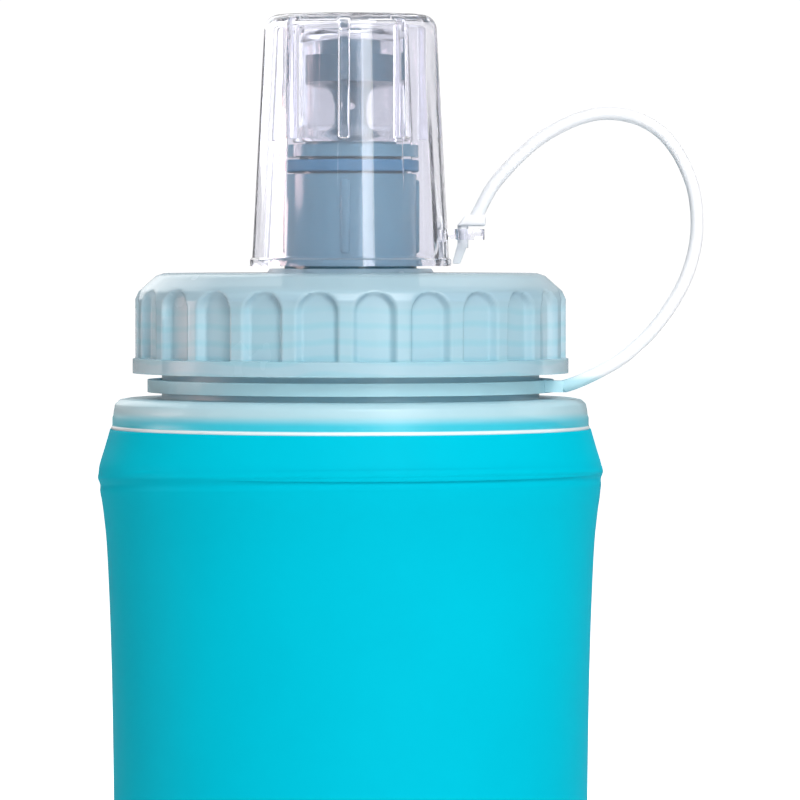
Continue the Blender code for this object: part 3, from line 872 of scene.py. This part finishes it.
# ---- tether: ring, strap and button -------------------------------------------------
# The tether is one flexible polypropylene moulding. Its ring turns freely on the neck below the
# cap, a thin round strap rises from the ring's lug, and a barbed button snaps into the cover's tab.
RING_RADIUS, RING_BOTTOM = node_size("tether_ring")[:2]
RING_BORE, RING_TOP = 21.4, RING_BOTTOM + 1.4
LUG_ANGLE, LUG_CENTRE = math.radians(-16.0), (23.2, 0.0, RING_BOTTOM + 0.75)
STRAP_DIAMETER, STRAP_LENGTH = 1.45 * MM, 62.0 * MM
STRAP_ROUTE = [
    Vector(point) * MM
    for point in (
        (23.55, -6.75, 123.85),
        (25.3, -7.0, 124.45),
        (27.8, -6.9, 125.65),
        (30.0, -6.6, 126.95),
        (31.7, -6.2, 128.4),
        (33.3, -5.8, 129.95),
        (35.4, -5.1, 132.7),
        (37.1, -4.4, 135.8),
        (38.1, -3.7, 139.0),
        (38.4, -3.1, 142.0),
        (38.1, -2.5, 145.2),
        (37.3, -1.9, 147.7),
        (36.1, -1.4, 150.0),
        (34.5, -1.0, 151.9),
        (32.5, -0.7, 153.2),
        (30.2, -0.4, 153.9),
        (27.7, -0.2, 154.0),
        (25.2, -0.1, 153.4),
        (22.9, 0.0, 152.35),
        (20.8, 0.0, 151.05),
        (19.0, 0.0, 149.5),
        (17.3, 0.0, 147.75),
        (15.7, 0.0, 145.8),
        (14.3, 0.0, 143.2),
    )
]

# Unfilled polypropylene, thin and flexed: waxy and nearly white. On the ring by the neck it is
# painted cyan-grey, painted light from the cyan film and neck below it.
tether_natural, shader = new_material("flexible_polypropylene", IOR=1.49, Alpha=0.92)
waxy = moulded_skin(
    tether_natural,
    shader,
    ("#F8F9FC", "#F1F3F7"),
    patch=4 * MM,
    rough=(0.3, 0.42),
    grain=1.5 * MM,
    depth=0.001 * MM,
)
# Painted cyan light on the ring, from the film and neck below it.
with_painted_cyan_light = tint_and_painted_light(
    tether_natural, waxy, height_in(tether_natural), RING_TOP + 0.8, RING_TOP - 0.1, "#B6DFE9"
)
tether_natural.node_tree.links.new(with_painted_cyan_light, shader.inputs["Base Color"])

ring = turned(
    "neck_loop",
    [
        (RING_BORE, RING_TOP),
        (RING_RADIUS, RING_TOP),
        (RING_RADIUS, RING_BOTTOM),
        (RING_BORE, RING_BOTTOM),
        (RING_BORE, RING_TOP),
    ],
    COLLAR_SIDES,
)
lug = block(LUG_CENTRE, (2.8, 2.0, 1.3))
pick(lug, lambda place: place.x > 24.0 * MM)
bpy.ops.transform.resize(
    value=(1.0, 0.75, 1.0), center_override=[length * MM for length in LUG_CENTRE]
)
bpy.ops.object.mode_set(mode="OBJECT")
lug.rotation_euler = (0.0, 0.0, LUG_ANGLE)
fused(ring, [lug])
round_edges(ring, 0.18 * MM, 2, 40.0)
painted(ring, tether_natural)
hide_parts("tether_ring")
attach(ring, "tether")

strap_line = smooth_line(STRAP_ROUTE, 6)
bpy.ops.object.select_all(action="DESELECT")
bpy.ops.curve.primitive_nurbs_path_add()
strap = bpy.context.object
strap.name = "loop_strap"
strap.data.splines.clear()
spline = strap.data.splines.new("POLY")
spline.points.add(len(strap_line) - 1)
for target, point in zip(spline.points, strap_line):
    target.co = (*point, 1.0)
strap.data.bevel_depth = STRAP_DIAMETER / 2
strap.data.bevel_resolution = 6
strap.data.use_fill_caps = True
select_only(strap)
bpy.ops.object.convert(target="MESH")
painted(strap, tether_natural)
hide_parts("tether_strap")
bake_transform(strap)

TAB_HOLE_X, TAB_Z = 12.5, 140.6  # middle of the hole in the cover's tab
button = block((13.4, 0.0, TAB_Z + 1.55), (3.3, 1.9, 1.3))
button.name = "tether_button"
pick(button, lambda place: place.x < 12.0 * MM and place.z > 142.5 * MM)
bpy.ops.transform.translate(value=(1.1 * MM, 0.0, 0.0))
bpy.ops.object.mode_set(mode="OBJECT")
round_edges(button, 0.35 * MM, 3)
tail = block((TAB_HOLE_X, 0.0, TAB_Z - 2.1), (1.15, 1.1, 2.3))
pick(tail, lambda place: place.z < 138.0 * MM)
bpy.ops.transform.translate(value=(-0.75 * MM, 0.0, 0.0))
bpy.ops.transform.resize(value=(0.75, 0.85, 1.0), center_override=(11.8 * MM, 0.0, 137.4 * MM))
bpy.ops.object.mode_set(mode="OBJECT")
round_edges(tail, 0.15 * MM)
strap_root = rod(
    (14.03, 0.0, 142.7), STRAP_DIAMETER / 2 / MM, 1.3, sides=32, turn=(0.0, math.radians(28.3), 0.0)
)
stem = rod((TAB_HOLE_X, 0.0, TAB_Z - 0.2), radius=0.6, length=2.6, sides=24)
for part in (strap_root, stem, tail):
    fused(button, [part])
painted(button, tether_natural)
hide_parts("strap_end")
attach(button, "cover")


# ---- dust cover ---------------------------------------------------------------------
# The cover is a clear styrene dome, polished inside and out. Eight ribs inside it grip the spout,
# and a tab near its foot holds the tether's button.
COVER_SIDES = 128
COVER_RIM, COVER_BOTTOM, COVER_TOP = node_size("dust_cover")
COVER_FOOT_RADIUS, COVER_TOP_RADIUS, COVER_WALL = COVER_RIM - 0.25, 9.6, 1.15
COVER_CORNER, COVER_RIBS = 1.7, 8


def arc(centre, radius, start, end, steps):
    """Points along an arc, with angles in degrees from +radius."""
    angles = [math.radians(start + (end - start) * i / steps) for i in range(steps + 1)]
    return [(centre[0] + radius * math.cos(a), centre[1] + radius * math.sin(a)) for a in angles]


corner_centre = (COVER_TOP_RADIUS - COVER_CORNER, COVER_TOP - COVER_CORNER)
cover = turned(
    "cover_dome",
    [
        (0.0, COVER_TOP),
        *arc(corner_centre, COVER_CORNER, 90, 0, 8),
        (COVER_FOOT_RADIUS, COVER_BOTTOM + 0.9),
        (COVER_RIM, COVER_BOTTOM + 0.7),
        (COVER_RIM, COVER_BOTTOM),
        (COVER_FOOT_RADIUS - COVER_WALL, COVER_BOTTOM),
        *arc(corner_centre, COVER_CORNER - COVER_WALL, 0, 90, 4),
        (0.0, COVER_TOP - COVER_WALL),
    ],
    COVER_SIDES,
)
RIB_X = 8.3
rib = block((RIB_X, 0.0, 157.65), (1.6, 1.2, 13.1))
pick(rib, lambda place: place.x > RIB_X * MM and place.z < 152 * MM)
bpy.ops.transform.translate(value=(0.45 * MM, 0.0, 0.0))
bpy.ops.object.mode_set(mode="OBJECT")
round_edges(rib, 0.35 * MM, 3)
tab = rod((12.8, 0.0, TAB_Z), radius=2.1, length=1.2, sides=48)
pick(tab, lambda place: place.x < 12.7 * MM)
bpy.ops.transform.resize(value=(0.0, 1.0, 1.0), center_override=(10.4 * MM, 0.0, TAB_Z * MM))
bpy.ops.object.mode_set(mode="OBJECT")
round_edges(tab, 0.15 * MM)
hole = rod((TAB_HOLE_X, 0.0, TAB_Z), radius=1.0, length=3.0, sides=32)
fused(cover, copies_round(rib, COVER_RIBS, RIB_FIRST))
fused(cover, [tab])
fused(cover, [hole], "DIFFERENCE")
round_edges(cover, 0.12 * MM, 2, 50.0)
# Crystal styrene: water-clear and glossy, a little violet through its edges.
crystal, shader = new_material("crystal_styrene", IOR=1.5, Transmission_Weight=0.97)
moulded_skin(
    crystal,
    shader,
    ("#F4F4FA", "#ECECF4"),
    patch=6 * MM,
    rough=(0.02, 0.06),
    grain=2.5 * MM,
    depth=0.002 * MM,
)
painted(cover, crystal)
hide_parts("dust_cover")
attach(cover, "cover")


# ---- table, light and camera --------------------------------------------------------
# The flask stands on a plain pale table in a white studio, which is bright ahead and darker at both
# sides, so the round pieces turn darker there. Two soft lamps light the front, a low warm one the
# left side and a wide one the back.
GLOW_START, GLOW_END = 150 * MM, 700 * MM
ROOM_LEVELS = ((0.25, 0.02), (0.5, 0.52), (0.62, 0.52), (0.86, 0.06))  # from left, 0, to right, 1
CAMERA_HEIGHT, CAMERA_DISTANCE, CAMERA_SIDE = 140 * MM, 690 * MM, 5.5 * MM
CAMERA_PITCH, CAMERA_LENS = math.radians(1.48), 279.0


def seen_clearly(owner):
    """1 for what the camera sees, straight or through a clear piece, and 0 for other light."""
    rays = add_node(owner, "ShaderNodeLightPath")
    return add_node(
        owner,
        "ShaderNodeMath",
        [(rays.outputs["Is Camera Ray"], 0), (rays.outputs["Is Transmission Ray"], 1)],
        operation="MAXIMUM",
    ).outputs[0]


# Pale laminate: matt and plain. Away from the flask it glows to the camera, to meet the backdrop.
bpy.ops.object.select_all(action="DESELECT")
bpy.ops.mesh.primitive_plane_add(size=24.0)
table = bpy.context.object
table.name = "table"
pale_table, shader = new_material(
    "pale_laminate", Roughness=0.7, Specular_IOR_Level=0.2, Emission_Color=(1.0, 1.0, 1.0, 1.0)
)
shader.inputs["Base Color"].default_value = colour("#F2F2F2")
spot = add_node(pale_table, "ShaderNodeTexCoord").outputs["Object"]
reach = add_node(pale_table, "ShaderNodeVectorMath", [(spot, 0)], operation="LENGTH")
glow = add_node(
    pale_table,
    "ShaderNodeMapRange",
    [(reach.outputs["Value"], "Value")],
    From_Min=GLOW_START,
    From_Max=GLOW_END,
    To_Min=0.0,
    To_Max=0.9,
    interpolation_type="SMOOTHSTEP",
).outputs["Result"]
seen_glow = add_node(
    pale_table, "ShaderNodeMath", [(glow, 0), (seen_clearly(pale_table), 1)], operation="MULTIPLY"
).outputs[0]
pale_table.node_tree.links.new(seen_glow, shader.inputs["Emission Strength"])
table.data.materials.append(pale_table)

studio = bpy.data.worlds.new("studio")
studio.use_nodes = True
bpy.context.scene.world = studio
direction = add_node(studio, "ShaderNodeTexCoord").outputs["Generated"]
axes = add_node(studio, "ShaderNodeSeparateXYZ", [(direction, "Vector")])
across = add_node(
    studio, "ShaderNodeMapRange", [(axes.outputs["X"], "Value")], From_Min=-1.0
).outputs["Result"]
room = add_node(studio, "ShaderNodeValToRGB", [(across, "Fac")])
stops = room.color_ramp.elements
for position, level in ROOM_LEVELS:
    stops.new(position).color = (level, level, level, 1.0)
for spare in (stops[-1], stops[0]):  # the two that a new ramp has
    stops.remove(spare)
brightness = add_node(
    studio, "ShaderNodeMix", [(seen_clearly(studio), "Factor"), (room.outputs["Color"], "A")], B=1.05
)
backdrop = studio.node_tree.nodes["Background"]
studio.node_tree.links.new(brightness.outputs[0], backdrop.inputs["Strength"])
backdrop.inputs["Color"].default_value = (1.0, 1.0, 1.0, 1.0)


def soft_box(name, place, width, height, power, tint="#FFFFFF"):
    """A rectangular lamp that faces the flask's upper half. The camera doesn't see it."""
    bpy.ops.object.select_all(action="DESELECT")
    bpy.ops.object.light_add(type="AREA", location=place)
    made = bpy.context.object
    made.name = name
    made.data.shape = "RECTANGLE"
    made.data.size, made.data.size_y = width, height
    made.data.energy = power
    made.data.color = colour(tint)[:3]
    aim = Vector((0.0, 0.0, 100 * MM)) - Vector(place)
    made.rotation_euler = aim.to_track_quat("-Z", "Y").to_euler()
    made.visible_camera = False


soft_box("key_box", (0.45, -1.1, 0.8), 0.36, 1.6, 10.0)
soft_box("top_box", (0.2, -0.75, 0.95), 0.8, 0.5, 7.5)
soft_box("left_box", (-1.1, 0.15, 0.2), 0.4, 0.16, 2.8, "#FFD8CE")
soft_box("back_box", (-0.5, 1.1, 0.7), 0.7, 1.0, 4.5)

bpy.ops.object.select_all(action="DESELECT")
bpy.ops.object.camera_add(
    location=(CAMERA_SIDE, -CAMERA_DISTANCE, CAMERA_HEIGHT),
    rotation=(math.pi / 2 - CAMERA_PITCH, 0.0, 0.0),
)
camera = bpy.context.object
camera.data.lens = CAMERA_LENS
camera.data.sensor_width = 36.0
camera.data.clip_start = 10 * MM
scene = bpy.context.scene
scene.camera = camera
scene.view_settings.view_transform = "Standard"
# Clear walls inside one another need many bounces, or their edges turn black.
scene.cycles.max_bounces = 20
scene.cycles.transmission_bounces = 20
scene.cycles.glossy_bounces = 16
scene.cycles.diffuse_bounces = 8
scene.cycles.transparent_max_bounces = 24
